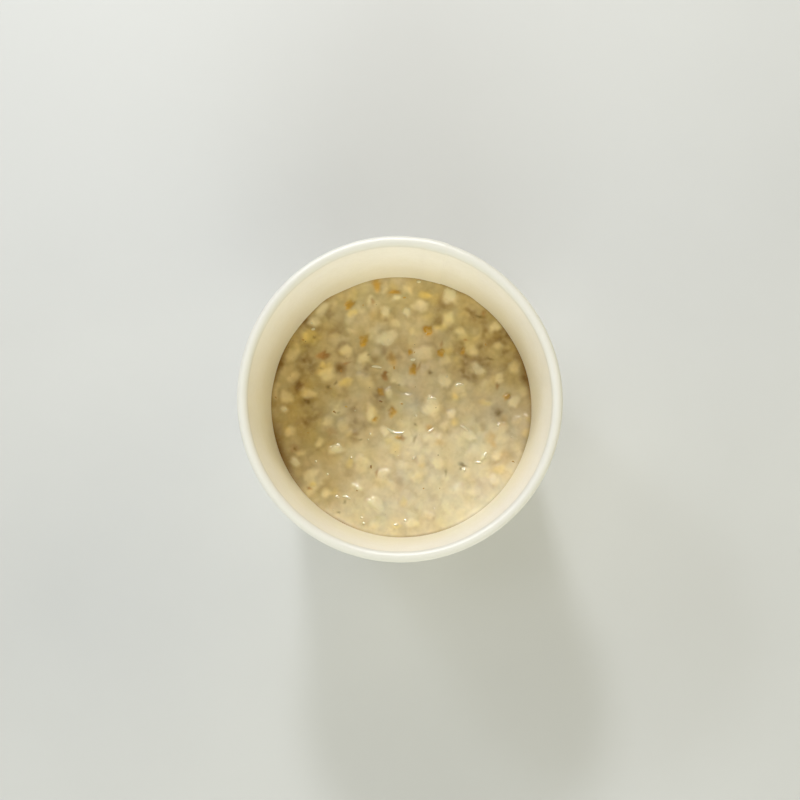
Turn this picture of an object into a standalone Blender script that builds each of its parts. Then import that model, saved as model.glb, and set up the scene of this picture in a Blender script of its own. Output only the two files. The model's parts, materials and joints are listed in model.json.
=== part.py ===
"""A part-filled paper pot of porridge.

The pot is a cone of paper board. Its top edge is rolled outwards into a bead, and its bottom edge is folded in and
up, round the skirt of a recessed base. The porridge is one solid up to its lumpy surface.
The origin is the centre of the ring that the pot stands on, and +Z is up.
"""

import math

import bpy

# Driving dimensions, in metres.
RIM_DIAMETER = 0.098
POT_HEIGHT = 0.076
FOOT_DIAMETER = 0.078
BOARD = 0.0005  # thickness of the paper board
ROLL_DIAMETER = 0.0032  # the rolled rim, seen in section
BASE_HEIGHT = 0.0080  # table to the middle of the base's board
PORRIDGE_LEVEL = 0.0388  # table to the porridge's mean surface
CLEARANCE = 0.0003  # between pieces that touch

# How far the edges turn, and how the porridge lies.
ROLL_TURN = math.radians(290)
HEM_BELOW_BASE = 0.0009  # the hem's upper edge, below the base's middle
SKIRT_ABOVE_FOLD = 0.0011  # the skirt's lower edge, above the table
MENISCUS = 0.0008  # rise of the porridge where it clings to the wall
MENISCUS_REACH = 0.0020
LUMP_SIZE = 0.0075
LUMP_HEIGHT = 0.0026

# Facets.
SEGMENTS = 72
ROLL_FACETS = 11
SURFACE_RINGS = 18

AXIS_MERGE = 0.00001  # a profile's points on the axis become one

# Worked out from the sizes above.
HALF_BOARD = BOARD / 2
LAYER = BOARD + CLEARANCE  # from the middle of one board to the middle of the next
ROLL_RADIUS = (ROLL_DIAMETER - BOARD) / 2  # to the middle of the board
ROLL_CENTRE = (RIM_DIAMETER / 2 - ROLL_RADIUS - HALF_BOARD, POT_HEIGHT - ROLL_RADIUS - HALF_BOARD)
WALL_FOOT = (FOOT_DIAMETER / 2 - HALF_BOARD, HALF_BOARD)


def wall_lean():
    """Angle from upright of the wall, which runs from its foot to touch the rolled rim on its inner side."""
    across = ROLL_CENTRE[0] - WALL_FOOT[0]
    up = ROLL_CENTRE[1] - WALL_FOOT[1]
    return math.atan2(across, up) - math.asin(ROLL_RADIUS / math.hypot(across, up))


LEAN = wall_lean()


def wall_radius(height, layers_in=0.0):
    """Radius at a height of the wall's middle surface, or of one that lies some layers of board further in."""
    return WALL_FOOT[0] + (height - WALL_FOOT[1]) * math.tan(LEAN) - layers_in * LAYER / math.cos(LEAN)


def inside_radius(height):
    """Radius that fills the pot at a height, clear of the wall."""
    return wall_radius(height) - (HALF_BOARD + CLEARANCE) / math.cos(LEAN)


def material(name, colour, roughness):
    made = bpy.data.materials.new(name)
    made.use_nodes = True
    shader = made.node_tree.nodes["Principled BSDF"]
    shader.inputs["Base Color"].default_value = (*colour, 1.0)
    shader.inputs["Roughness"].default_value = roughness
    shader.inputs["Metallic"].default_value = 0.0
    return made


def turned(name, profile, finish, collection):
    """An object made by turning a profile of (radius, height) points about the Z axis."""
    mesh = bpy.data.meshes.new(name)
    points = [(radius, 0.0, height) for radius, height in profile]
    mesh.from_pydata(points, [(i, i + 1) for i in range(len(points) - 1)], [])
    made = bpy.data.objects.new(name, mesh)
    collection.objects.link(made)
    made.data.materials.append(finish)
    turn = made.modifiers.new("Turn", "SCREW")
    turn.axis = "Z"
    turn.angle = math.tau
    turn.steps = SEGMENTS
    turn.render_steps = SEGMENTS
    turn.use_merge_vertices = True
    turn.merge_threshold = AXIS_MERGE
    turn.use_smooth_shade = True
    return made


def boarded(made):
    """Gives a turned surface the thickness of the board, half on each side."""
    board = made.modifiers.new("Board", "SOLIDIFY")
    board.thickness = BOARD
    board.offset = 0.0
    board.use_even_offset = True
    board.use_quality_normals = True


def rolled_rim():
    """Profile of the bead, from where it leaves the wall, over the top, to its tucked end."""
    points = []
    for i in range(ROLL_FACETS + 1):
        angle = math.pi - LEAN - ROLL_TURN * i / ROLL_FACETS
        points.append(
            (ROLL_CENTRE[0] + ROLL_RADIUS * math.cos(angle), ROLL_CENTRE[1] + ROLL_RADIUS * math.sin(angle))
        )
    return points


def pot_wall(finish, collection):
    """The side of the pot, from the hem inside the foot, round the fold and up to the rolled rim."""
    hem_top = BASE_HEIGHT - HEM_BELOW_BASE
    hem = [(wall_radius(height, 2), height) for height in (hem_top, HALF_BOARD)]
    made = turned("pot_wall", [*hem, WALL_FOOT, *rolled_rim()], finish, collection)
    boarded(made)
    return made


def pot_base(finish, collection):
    """The recessed base: a disc whose edge is folded down into a skirt between the wall and its hem."""
    skirt = [(wall_radius(height, 1), height) for height in (SKIRT_ABOVE_FOLD, BASE_HEIGHT)]
    made = turned("pot_base", [*skirt, (0.0, BASE_HEIGHT)], finish, collection)
    boarded(made)
    return made


def porridge(finish, collection):
    """The porridge, from the base up to a surface that is lumpy in the middle and clings to the wall."""
    edge_radius = inside_radius(PORRIDGE_LEVEL + MENISCUS)
    points = [(0.0, 0.0, PORRIDGE_LEVEL)]
    faces = []
    starts = [0]  # the first point of each ring
    for ring in range(1, SURFACE_RINGS + 1):
        starts.append(len(points))
        radius = edge_radius * ring / SURFACE_RINGS
        height = PORRIDGE_LEVEL + MENISCUS * math.exp((radius - edge_radius) / MENISCUS_REACH)
        for i in range(6 * ring):
            angle = math.tau * i / (6 * ring)
            points.append((radius * math.cos(angle), radius * math.sin(angle), height))
        for side in range(6):
            for i in range(ring):
                outer = starts[ring] + (side * ring + i) % (6 * ring)
                after = starts[ring] + (side * ring + i + 1) % (6 * ring)
                inner = starts[ring - 1] + (side * (ring - 1) + i) % max(6 * (ring - 1), 1)
                faces.append((inner, outer, after))
                if i < ring - 1:
                    across = starts[ring - 1] + (side * (ring - 1) + i + 1) % (6 * (ring - 1))
                    faces.append((inner, after, across))
    brim = starts[-1]
    around = 6 * SURFACE_RINGS
    bottom = len(points)
    floor = BASE_HEIGHT + HALF_BOARD + CLEARANCE
    for i in range(around):
        angle = math.tau * i / around
        points.append((inside_radius(floor) * math.cos(angle), inside_radius(floor) * math.sin(angle), floor))
    for i in range(around):
        after = (i + 1) % around
        faces.append((brim + i, bottom + i, bottom + after, brim + after))
    faces.append(tuple(bottom + i for i in reversed(range(around))))

    mesh = bpy.data.meshes.new("porridge")
    mesh.from_pydata(points, [], faces)
    made = bpy.data.objects.new("porridge", mesh)
    collection.objects.link(made)
    made.data.materials.append(finish)

    lumpy = made.vertex_groups.new(name="lumpy")
    lumpy.add(range(starts[-2]), 1.0, "REPLACE")
    lumps = made.modifiers.new("Lumps", "DISPLACE")
    lumps.texture = bpy.data.textures.new("lumps", "CLOUDS")
    lumps.texture.noise_scale = LUMP_SIZE
    lumps.texture.noise_depth = 1
    lumps.texture_coords = "LOCAL"
    lumps.direction = "Z"
    lumps.mid_level = 0.5
    lumps.strength = LUMP_HEIGHT
    lumps.vertex_group = lumpy.name
    return made


def main():
    for old in list(bpy.data.objects):
        bpy.data.objects.remove(old)
    parts = bpy.data.collections.new("pot_of_porridge")
    bpy.context.scene.collection.children.link(parts)
    board = material("cream paper board", (0.88, 0.85, 0.78), 0.5)
    oats = material("oat porridge", (0.66, 0.55, 0.36), 0.3)
    pot_wall(board, parts)
    pot_base(board, parts)
    porridge(oats, parts)


main()
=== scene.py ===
"""A part-filled paper pot of oat porridge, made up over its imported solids.

Lengths are in metres unless a name or a comment says mm.
"""

import json
import math
import random

import bmesh
import bpy
import numpy as np
from mathutils import Matrix, Vector

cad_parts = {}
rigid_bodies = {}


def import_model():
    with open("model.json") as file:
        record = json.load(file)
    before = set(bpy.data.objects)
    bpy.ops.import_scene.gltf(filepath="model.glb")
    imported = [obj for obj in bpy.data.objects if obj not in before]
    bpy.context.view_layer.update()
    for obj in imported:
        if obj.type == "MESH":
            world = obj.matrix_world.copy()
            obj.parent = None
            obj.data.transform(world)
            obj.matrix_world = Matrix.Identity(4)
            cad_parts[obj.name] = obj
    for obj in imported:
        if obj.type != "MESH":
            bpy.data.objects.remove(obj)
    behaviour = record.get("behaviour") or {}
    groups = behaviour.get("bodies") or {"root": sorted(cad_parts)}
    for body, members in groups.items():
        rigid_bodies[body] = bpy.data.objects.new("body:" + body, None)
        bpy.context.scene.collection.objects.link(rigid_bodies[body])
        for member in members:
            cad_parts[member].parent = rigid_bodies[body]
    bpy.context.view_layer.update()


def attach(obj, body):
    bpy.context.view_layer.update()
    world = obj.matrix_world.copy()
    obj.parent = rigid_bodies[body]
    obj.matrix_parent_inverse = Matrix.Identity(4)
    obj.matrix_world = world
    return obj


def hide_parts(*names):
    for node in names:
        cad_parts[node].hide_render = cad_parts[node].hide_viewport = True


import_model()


# ---------------------------------------------------------------------------------------------------------------------
# Side wall. A fan of paper board, coated on the food side, is wrapped into a cone and lapped up one side. Its top edge
# is curled outwards into a bead, and its bottom edge is folded in and up, round the skirt of the base.
# ---------------------------------------------------------------------------------------------------------------------

POT_HEIGHT = 0.076
RIM_RADIUS = 0.049
FOOT_RADIUS = 0.039
BOARD = 0.0005
CURL_RADIUS = 0.00135  # to the middle of the board
LAYER = 0.0008  # from one board of the foot to the next
HEM_TOP = 0.0071
CURL_CENTRE = Vector((RIM_RADIUS - CURL_RADIUS - BOARD / 2, POT_HEIGHT - CURL_RADIUS - BOARD / 2))
WALL_START = Vector((FOOT_RADIUS - BOARD / 2, BOARD / 2))
CHORD = CURL_CENTRE - WALL_START
LEAN = math.atan2(CHORD.x, CHORD.y) - math.asin(CURL_RADIUS / CHORD.length)

OVAL = 0.0003  # the rim is this much out of round
OVAL_WAY = math.radians(123)
LOBES = 0.3  # a slighter wander with three lobes, as a share of the oval
LOBES_TURN = 0.7
LAP_AT = math.radians(72)
LAP_WIDTH = math.radians(11)
LAP_STEP = 0.00016
LAP_BEGINS, LAP_FULL = 0.002, 0.006  # heights between which the lap comes out of the fold

WALL_COLUMNS = 600
HEM_ROWS, BEND_ROWS, WALL_ROWS, CURL_ROWS = 6, 10, 18, 42
CURL_TURN = 405  # degrees, from the wall over the top to the end tucked inside
TUCK_FROM, TUCK_OVER, TUCK_IN = 215, 135, 0.46  # where the curl tightens, over how many degrees, and by what share
TURNED_CREASE = 40  # degrees

# The board's tones.
BOARD_CREAM, BOARD_WHITE = (0.895, 0.858, 0.765), (0.915, 0.880, 0.795)
PULP_TONE, FIBRE_TONE = (0.84, 0.80, 0.715), (0.80, 0.755, 0.66)
# Partly milk soaked into the board, partly painted shade and painted bounce colour from the porridge, deeper down the
# food side.
DAMP_AND_SHADE_TONE = (0.80, 0.73, 0.495)  # where milk has soaked in over the porridge
# Painted shade: the rim's tone darkens the bead at the top of the wall.
RIM_SHADE_TONE, LAP_EDGE_TONE = (0.72, 0.70, 0.625), (0.78, 0.73, 0.62)


class Wire:
    """A socket of a node tree. Arithmetic on it adds Math nodes."""

    def __init__(self, graph, socket):
        self.graph = graph
        self.socket = socket

    def math(self, operation, *others):
        return self.graph.add("ShaderNodeMath", {"operation": operation}, dict(enumerate((self, *others))))

    def __add__(self, other):
        return self.math("ADD", other)

    def __mul__(self, other):
        return self.math("MULTIPLY", other)

    def __sub__(self, other):
        return self.math("SUBTRACT", other)

    def __truediv__(self, other):
        return self.math("DIVIDE", other)

    def __rsub__(self, other):
        return self.graph.add("ShaderNodeMath", {"operation": "SUBTRACT"}, {0: other, 1: self})

    __radd__ = __add__
    __rmul__ = __mul__


class Graph:
    """A node tree that is being written."""

    def __init__(self, tree):
        self.tree = tree

    def node(self, kind, settings=None, inputs=None):
        """A new node with these settings, and with these values or wires on its sockets."""
        node = self.tree.nodes.new(kind)
        for name, value in (settings or {}).items():
            setattr(node, name, value)
        for name, value in (inputs or {}).items():
            if isinstance(value, Wire):
                self.tree.links.new(value.socket, node.inputs[name])
            else:
                node.inputs[name].default_value = value
        return node

    def add(self, kind, settings=None, inputs=None, output=0):
        """The same, and gives one output of the node."""
        return Wire(self, self.node(kind, settings, inputs).outputs[output])

    def ramp(self, value, start, end, low=0.0, high=1.0):
        """Goes smoothly from low to high while value goes from start to end."""
        inputs = {"Value": value, "From Min": start, "From Max": end, "To Min": low, "To Max": high}
        return self.add("ShaderNodeMapRange", {"interpolation_type": "SMOOTHSTEP"}, inputs)

    def mix(self, share, first, second):
        """Two colours mixed. A plain colour is three numbers."""
        first, second = (c if isinstance(c, Wire) else (*c, 1.0) for c in (first, second))
        inputs = {0: share, 6: first, 7: second}
        return self.add("ShaderNodeMix", {"data_type": "RGBA"}, inputs, 2)

    def noise(self, place, size, detail=2.0, roughness=0.5, distortion=0.0):
        """Cloudy noise about 0.5, with patches about this many metres across."""
        inputs = {"Vector": place, "Scale": 1 / size, "Detail": detail}
        inputs |= {"Roughness": roughness, "Distortion": distortion}
        return self.add("ShaderNodeTexNoise", {}, inputs, "Fac")

    def stretched(self, place, scale, turn):
        return self.add("ShaderNodeMapping", {}, {"Vector": place, "Rotation": turn, "Scale": scale})


class Group(Graph):
    """A Geometry Nodes group that is being written, with named inputs and one result."""

    def __init__(self, name, **sockets):
        super().__init__(bpy.data.node_groups.new(name, "GeometryNodeTree"))
        for socket, kind in sockets.items():
            self.tree.interface.new_socket(socket, in_out="INPUT", socket_type="NodeSocket" + kind)
        self.tree.interface.new_socket("Result", in_out="OUTPUT", socket_type="NodeSocketGeometry")
        given = self.tree.nodes.new("NodeGroupInput")
        self.given = [Wire(self, given.outputs[socket]) for socket in sockets]

    def on_points(self, name, kind):
        """What a mesh stores under a name on its points."""
        return self.add("GeometryNodeInputNamedAttribute", {"data_type": kind}, {"Name": name})

    def ended(self, result, finish):
        """The whole group, which gives the result as one mesh in one material."""
        result = self.add("GeometryNodeRealizeInstances", {}, {"Geometry": result})
        result = self.add("GeometryNodeSetMaterial", {}, {"Geometry": result, "Material": finish})
        end = self.tree.nodes.new("NodeGroupOutput")
        self.tree.links.new(result.socket, end.inputs[0])
        return self.tree


class Finish(Graph):
    """A material: a Principled shader whose fixed values are set first and whose varying ones are wired in."""

    def __init__(self, name, **fixed):
        self.material = bpy.data.materials.new(name)
        self.material.use_nodes = True
        super().__init__(self.material.node_tree)
        self.shader = self.tree.nodes["Principled BSDF"]
        for socket, value in fixed.items():
            self.shader.inputs[socket.replace("_", " ")].default_value = value
        self.place = self.add("ShaderNodeTexCoord", {}, {}, "Object")

    def attribute(self, name, output="Fac"):
        return self.add("ShaderNodeAttribute", {"attribute_name": name}, {}, output)

    def varies(self, **wires):
        for socket, wire in wires.items():
            self.tree.links.new(wire.socket, self.shader.inputs[socket.replace("_", " ")])

    def relief(self, height, depth):
        """Bumps the surface by height, from 0 to 1, times a depth in metres."""
        self.varies(Normal=self.add("ShaderNodeBump", {}, {"Height": height, "Distance": depth}))


def strip_outline(middle):
    """Outline of board whose middle line has these points: its left skin, then its right skin backwards.

    Each item is (radius, height, push across, push up, 1 on the left skin).
    """
    line = [Vector(point) for point in middle]
    left, right = [], []
    for i, point in enumerate(line):
        along = (line[min(i + 1, len(line) - 1)] - line[max(i - 1, 0)]).normalized()
        push = Vector((-along.y, along.x))
        for skin, side in ((left, 1), (right, -1)):
            at = point + push * side * BOARD / 2
            skin.append((max(at.x, 0.0), at.y, push.x * side, push.y * side, float(side > 0)))
    return left, right[::-1]


def arc(centre, radius, start, turn, steps, radius_at=None):
    """Points on an arc, in (radius, height). Angles are in degrees, and radius_at may change the radius on the way."""
    points = []
    for i in range(steps + 1):
        angle = math.radians(start + turn * i / steps)
        reach = radius * (radius_at(abs(turn) * i / steps) if radius_at else 1.0)
        points.append(centre + reach * Vector((math.cos(angle), math.sin(angle))))
    return points


def turned_tree():
    """Geometry Nodes that turn a section into a ring, out of round towards its top and thicker where it is lapped."""
    g = Group("turned board", Section="Geometry", Columns="Int", Oval="Float", Lap_Step="Float", Board="Material")
    section, columns, oval, lap_step, board = g.given
    rows = g.add("GeometryNodeAttributeDomainSize", {}, {"Geometry": section}, "Point Count")
    grid = g.add("GeometryNodeMeshGrid", {}, {"Vertices X": columns + 1, "Vertices Y": rows}, "Mesh")
    index = g.add("GeometryNodeInputIndex")
    column = (index / rows).math("FLOOR")
    row = index - column * rows
    around = column / columns * math.tau

    def from_section(name, kind):
        inputs = {"Geometry": section, "Value": g.on_points(name, kind), "Index": row}
        return g.add("GeometryNodeSampleIndex", {"data_type": kind}, inputs)

    point = from_section("position", "FLOAT_VECTOR")
    push = from_section("push", "FLOAT_VECTOR")
    food_side = from_section("food_side", "FLOAT")
    height = g.add("ShaderNodeSeparateXYZ", {}, {"Vector": point}, "Z")
    share_up = height / POT_HEIGHT
    two_lobes = (around * 2 - 2 * OVAL_WAY).math("COSINE")
    three_lobes = (around * 3 + LOBES_TURN).math("COSINE")
    wander = oval * share_up * (two_lobes + LOBES * three_lobes)

    into_lap = ((around - LAP_AT + math.pi).math("FLOORED_MODULO", math.tau) - math.pi) / LAP_WIDTH
    # The inner end of the fan makes a sharp step on the food side, and the outer end makes one outside.
    inner_lap = g.ramp(into_lap, 0.0, 0.05) * g.ramp(into_lap, 0.6, 1.0, 1.0, 0.0)
    outer_lap = g.ramp(into_lap, 0.0, 0.4) * g.ramp(into_lap, 0.95, 1.0, 1.0, 0.0)
    lap = inner_lap * food_side + outer_lap * (1 - food_side)
    lap = lap * lap_step * g.ramp(height, LAP_BEGINS, LAP_FULL)
    pushed = g.add("ShaderNodeVectorMath", {"operation": "SCALE"}, {0: push, "Scale": lap})
    aside = g.add("ShaderNodeCombineXYZ", {}, {"X": wander})
    place = g.add("ShaderNodeVectorMath", {"operation": "ADD"}, {0: point, 1: pushed})
    place = g.add("ShaderNodeVectorMath", {"operation": "ADD"}, {0: place, 1: aside})
    place = g.add("ShaderNodeVectorRotate", {"rotation_type": "Z_AXIS"}, {"Vector": place, "Angle": around})

    ring = g.add("GeometryNodeSetPosition", {}, {"Geometry": grid, "Position": place})
    is_lapped = g.ramp(lap_step, 0.0, 0.0001)
    for name, value in (("food_side", food_side), ("lap", inner_lap * is_lapped)):
        inputs = {"Geometry": ring, "Name": name, "Value": value}
        ring = g.add("GeometryNodeStoreNamedAttribute", {"data_type": "FLOAT"}, inputs)
    ring = g.add("GeometryNodeMergeByDistance", {}, {"Geometry": ring, "Distance": 1e-6})
    return g.ended(ring, board)


def placed(name, data):
    """A new object in the scene, at the origin."""
    made = bpy.data.objects.new(name, data)
    bpy.context.scene.collection.objects.link(made)
    return made


def made_by(tree, seed_mesh, name, values):
    """A plain mesh object from a Geometry Nodes group, given its named inputs."""
    source = placed(name + "_source", seed_mesh)
    modifier = source.modifiers.new("nodes", "NODES")
    modifier.node_group = tree
    for item in tree.interface.items_tree:
        if item.in_out == "INPUT" and item.name in values:
            modifier[item.identifier] = values[item.name]
    source.update_tag()
    bpy.context.view_layer.update()
    evaluated = source.evaluated_get(bpy.context.evaluated_depsgraph_get())
    mesh = bpy.data.meshes.new_from_object(evaluated)
    bpy.data.objects.remove(source)
    mesh.name = name
    return placed(name, mesh)


def face_outwards(made, crease):
    """Turns a closed piece's faces outwards and shades it smooth, apart from edges sharper than crease degrees."""
    work = bmesh.new()
    work.from_mesh(made.data)
    bmesh.ops.recalc_face_normals(work, faces=work.faces)
    work.to_mesh(made.data)
    work.free()
    made.data.polygons.foreach_set("use_smooth", [True] * len(made.data.polygons))
    made.data.set_sharp_from_angle(angle=math.radians(crease))


def store(mesh, name, kind, rows):
    """Stores a value, a vector or a colour for each point of a mesh."""
    part = {"FLOAT": "value", "FLOAT_VECTOR": "vector", "FLOAT_COLOR": "color"}[kind]
    mesh.attributes.new(name, kind, "POINT").data.foreach_set(part, np.ravel(rows))


def turned_board(name, outline, columns, oval, lap_step):
    """A ring of board, whose outline goes round the board and ends where it began, or begins and ends on the axis."""
    mesh = bpy.data.meshes.new(name + "_section")
    mesh.from_pydata([(radius, 0.0, height) for radius, height, *_ in outline], [], [])
    store(mesh, "push", "FLOAT_VECTOR", [(item[2], 0.0, item[3]) for item in outline])
    store(mesh, "food_side", "FLOAT", [item[4] for item in outline])
    values = {"Columns": columns, "Oval": oval, "Lap_Step": lap_step, "Board": board_finish}
    made = made_by(turned_board_tree, mesh, name, values)
    face_outwards(made, TURNED_CREASE)
    return made


def paper_board():
    """Cream-white board: a cloudy pulp with fine fibres, under a thin satin coat on the food side."""
    f = Finish("cream paper board", Coat_Roughness=0.25, Coat_IOR=1.4, Specular_IOR_Level=0.25)
    cloud = f.noise(f.place, 0.006, 4.0, 0.6)
    pulp = f.noise(f.place, 0.0012, 3.0, 0.6)
    fibre = f.noise(f.stretched(f.place, (1.0, 1.0, 0.25), (0.3, 0.2, 0.0)), 0.0003, 2.0, 0.6, 0.8)
    height = f.add("ShaderNodeSeparateXYZ", {}, {"Vector": f.place}, "Z")
    food_side = f.attribute("food_side")
    colour = f.mix(f.ramp(cloud, 0.3, 0.7), BOARD_CREAM, BOARD_WHITE)
    colour = f.mix(f.ramp(pulp, 0.35, 0.75) * 0.35, colour, PULP_TONE)
    colour = f.mix(f.ramp(fibre, 0.62, 0.8) * 0.3, colour, FIBRE_TONE)
    # Painted shade and bounce colour, with some real damp, grow down the food side towards the porridge.
    damp_and_shade = food_side * f.ramp(height + (cloud - 0.5) * 0.006, 0.070, 0.040)
    colour = f.mix(damp_and_shade * 0.5, colour, DAMP_AND_SHADE_TONE)
    # Painted shade darkens the bead at the top of the wall.
    colour = f.mix(f.ramp(height, 0.0730, 0.0748) * 0.8, colour, RIM_SHADE_TONE)
    edge = f.attribute("lap")
    colour = f.mix(edge * (1 - edge) * 0.6, colour, LAP_EDGE_TONE)
    f.varies(Base_Color=colour, Roughness=0.42 + (pulp - 0.5) * 0.16 - damp_and_shade * 0.08, Coat_Weight=food_side * 0.12)
    f.relief(fibre * 0.5 + pulp * 0.5, 0.00004)
    return f.material


def wall_middle():
    """Middle line of the wall's board, from the hem's top, round the fold, up the wall and round the curl."""
    up = Vector((math.sin(LEAN), math.cos(LEAN)))
    inward = Vector((-up.y, up.x))

    def on_wall(height):
        return WALL_START + up * (height - WALL_START.y) / up.y

    # The fold's centre lies one layer in from the wall, at the height where the fold just stands on the table.
    fold_height = LAYER + BOARD / 2
    fold = on_wall(fold_height) + inward * LAYER
    fold_lift = fold_height - fold.y
    fold = Vector((fold.x + fold_lift * math.tan(LEAN), fold_height))
    lean = math.degrees(LEAN)
    hem_length = (HEM_TOP - fold_height) / up.y
    hem = [fold + inward * LAYER + up * hem_length * (1 - i / HEM_ROWS) for i in range(HEM_ROWS)]
    bend = arc(fold, LAYER, 180 - lean, 180, BEND_ROWS)
    start, end = bend[-1], CURL_CENTRE + inward * CURL_RADIUS
    wall = [start.lerp(end, i / WALL_ROWS) for i in range(1, WALL_ROWS)]

    def tuck(turned):
        share = min(max((turned - TUCK_FROM) / TUCK_OVER, 0.0), 1.0)
        return 1 - TUCK_IN * share * share * (3 - 2 * share)

    return [*hem, *bend, *wall, *arc(CURL_CENTRE, CURL_RADIUS, 180 - lean, -CURL_TURN, CURL_ROWS, tuck)]


turned_board_tree = turned_tree()
board_finish = paper_board()
food_skin, outer_skin = strip_outline(wall_middle())
side_wall = turned_board("pot_side_wall", [*food_skin, *outer_skin, food_skin[0]], WALL_COLUMNS, OVAL, LAP_STEP)
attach(side_wall, "root")
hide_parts("pot_wall")


# ---------------------------------------------------------------------------------------------------------------------
# Base. A disc of the same board, pressed so that its edge turns down into a skirt. The skirt is glued between the wall
# and the wall's hem, which leaves the base clear of the table.
# ---------------------------------------------------------------------------------------------------------------------

BASE_HEIGHT = 0.008  # table to the middle of the board
SKIRT_FOOT = 0.0013
BASE_CORNER = 0.0009
BASE_DISH = 0.00025  # the disc sags this much in the middle
BASE_COLUMNS = 180
DISC_ROWS, CORNER_ROWS = 12, 6
SKIRT_HEIGHTS = (0.0055, 0.003, SKIRT_FOOT)


def base_middle():
    """Middle line of the base's board, from its centre outwards and down the skirt."""

    def skirt_radius(height):
        return WALL_START.x + (height - WALL_START.y) * math.tan(LEAN) - LAYER / math.cos(LEAN)

    corner = Vector((skirt_radius(BASE_HEIGHT) - BASE_CORNER, BASE_HEIGHT - BASE_CORNER))
    disc = []
    for i in range(DISC_ROWS):
        share = i / DISC_ROWS
        disc.append(Vector((corner.x * share, BASE_HEIGHT - BASE_DISH * (1 - share * share))))
    bend = arc(corner, BASE_CORNER, 90, -90 - math.degrees(LEAN), CORNER_ROWS)
    skirt = [Vector((skirt_radius(height), height)) for height in SKIRT_HEIGHTS]
    return [*disc, *bend, *skirt]


top_skin, under_skin = strip_outline(base_middle())
top_skin[0] = (0.0, *top_skin[0][1:])
under_skin[-1] = (0.0, *under_skin[-1][1:])
base = turned_board("pot_base_disc", [*top_skin, *under_skin], BASE_COLUMNS, 0.0, 0.0)
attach(base, "root")
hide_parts("pot_base")


# ---------------------------------------------------------------------------------------------------------------------
# Porridge. Rolled oats cooked soft in milk: a thick, wet, milky liquid that lies level, draped over swollen flakes
# that lie in it at all angles. It fills the pot from the base to the level, and clings to the wall all round.
# ---------------------------------------------------------------------------------------------------------------------

LEVEL_MM = 38.7
TRAY_MM = 44.0  # half the side of the square that the surface is worked out on
PITCH_MM = 0.2
RINGS = 168
RING_SPREAD = 0.97  # below 1, the rings lie closer together towards the wall
INTO_WALL = 0.00012
CLING = 0.0011  # how far in from the wall the rise fades
CLINGING_LUMPS = 0.25  # what is left of the lumps' height where the milk clings to the wall
DRY_EDGE_MM = (0.6, 2.6)  # the skin is dry up to the first from the wall, and wet from the second
FLOOR = BASE_HEIGHT + BOARD / 2 + 0.00005
FLOOR_GAP = 0.0003  # between the porridge's foot and the wall
DARKEST, PALEST = 0.01, 0.95
PORRIDGE_CREASE = 80  # degrees

TRAY_CELLS = int(2 * TRAY_MM / PITCH_MM) + 1
tray_x, tray_y = np.meshgrid(*[np.linspace(-TRAY_MM, TRAY_MM, TRAY_CELLS)] * 2)


def blurred(field, width):
    """A field softened over this many mm."""
    wave = np.fft.fftfreq(TRAY_CELLS, PITCH_MM)
    keep = np.exp(-2 * (math.pi * width) ** 2 * (wave[:, None] ** 2 + wave[None, :] ** 2))
    return np.fft.ifft2(np.fft.fft2(field) * keep).real


def lumps(seed, size):
    """An even random field with lumps about this many mm across, mostly between -2 and 2."""
    field = blurred(np.random.default_rng(seed).standard_normal((TRAY_CELLS, TRAY_CELLS)), size / 4)
    return field / field.std()


def smooth(value, start, end):
    """Goes smoothly from 0 to 1 while value goes from start to end."""
    share = np.clip((value - start) / (end - start), 0.0, 1.0)
    return share * share * (3 - 2 * share)


def pool(x, y, width):
    """A soft round patch about a place on the surface."""
    return np.exp(-((tray_x - x) ** 2 + (tray_y - y) ** 2) / (2 * width * width))


# Where the milk lies thick and pale, and where it is thin and brown, together with painted light and shade that make
# it darker at the left and upper right: x, y and width in mm, and how much thicker.
MILK_AND_LIGHT_POOLS = (
    (9, -4, 9, 0.22), (10, -28, 14, 0.04), (12, -21, 8, 0.10), (-5, 40, 10, 0.45), (-5, 16, 9, 0.14),
    (-21, 30, 6, 0.25), (-20, -4, 5, 0.40), (-8, 13, 6, 0.10), (4, 4, 4, 0.20), (20, -13, 4, 0.20),
    (-37, 11, 4, 0.15), (20, 20, 7, 0.12), (34, -3, 6, 0.30), (11, 0, 7, -0.12), (12, -9, 5, -0.15),
    (0, -40, 10, -0.20), (-34, 4, 13, -0.30), (-30, -6, 10, -0.24), (-27, -24, 11, -0.32), (31, 20, 12, -0.28),
)  # fmt: skip
# Painted shade as well as thinner milk: the porridge gets darker towards +Y.
THINNER_AND_DARKER_UP_Y = 0.011  # for each mm
milkiness_and_light = 0.50 - THINNER_AND_DARKER_UP_Y * tray_y + 0.06 * lumps(3, 16)
for x, y, width, thicker in MILK_AND_LIGHT_POOLS:
    milkiness_and_light = milkiness_and_light + thicker * pool(x, y, width)
milkiness_and_light = np.clip(milkiness_and_light, 0.0, 1.0)

TONES = {
    "thin milk": (0.51, 0.36, 0.105),
    "thick milk": (0.825, 0.72, 0.485),
    "deep": (0.22, 0.115, 0.024),
    "pale": (0.87, 0.76, 0.47),
    "cream": (0.81, 0.655, 0.32),
    "straw": (0.74, 0.54, 0.13),
    "gold": (0.52, 0.285, 0.035),
    "rust": (0.38, 0.18, 0.045),
    "husk": (0.16, 0.10, 0.02),
}
TONES = {name: np.array(tone) for name, tone in TONES.items()}
# How much of its tone a flake shows, at most. Above 1 it shows in full, up to nearer its edge.
SHOWS = {"pale": 0.52, "cream": 0.66, "straw": 0.90, "gold": 1.30, "rust": 1.0, "husk": 1.0}
# Oats of these tones are swollen and see-through, where husk isn't. Veil is how much of a piece the thickest milk
# hides, and drift how much darker one end is than the middle.
SOFT = ("pale", "cream", "straw")
SOFT_LOOK = {"veil": 0.62, "drift": 0.08}
HUSK_LOOK = {"veil": 0.15, "drift": 0.30}


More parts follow.
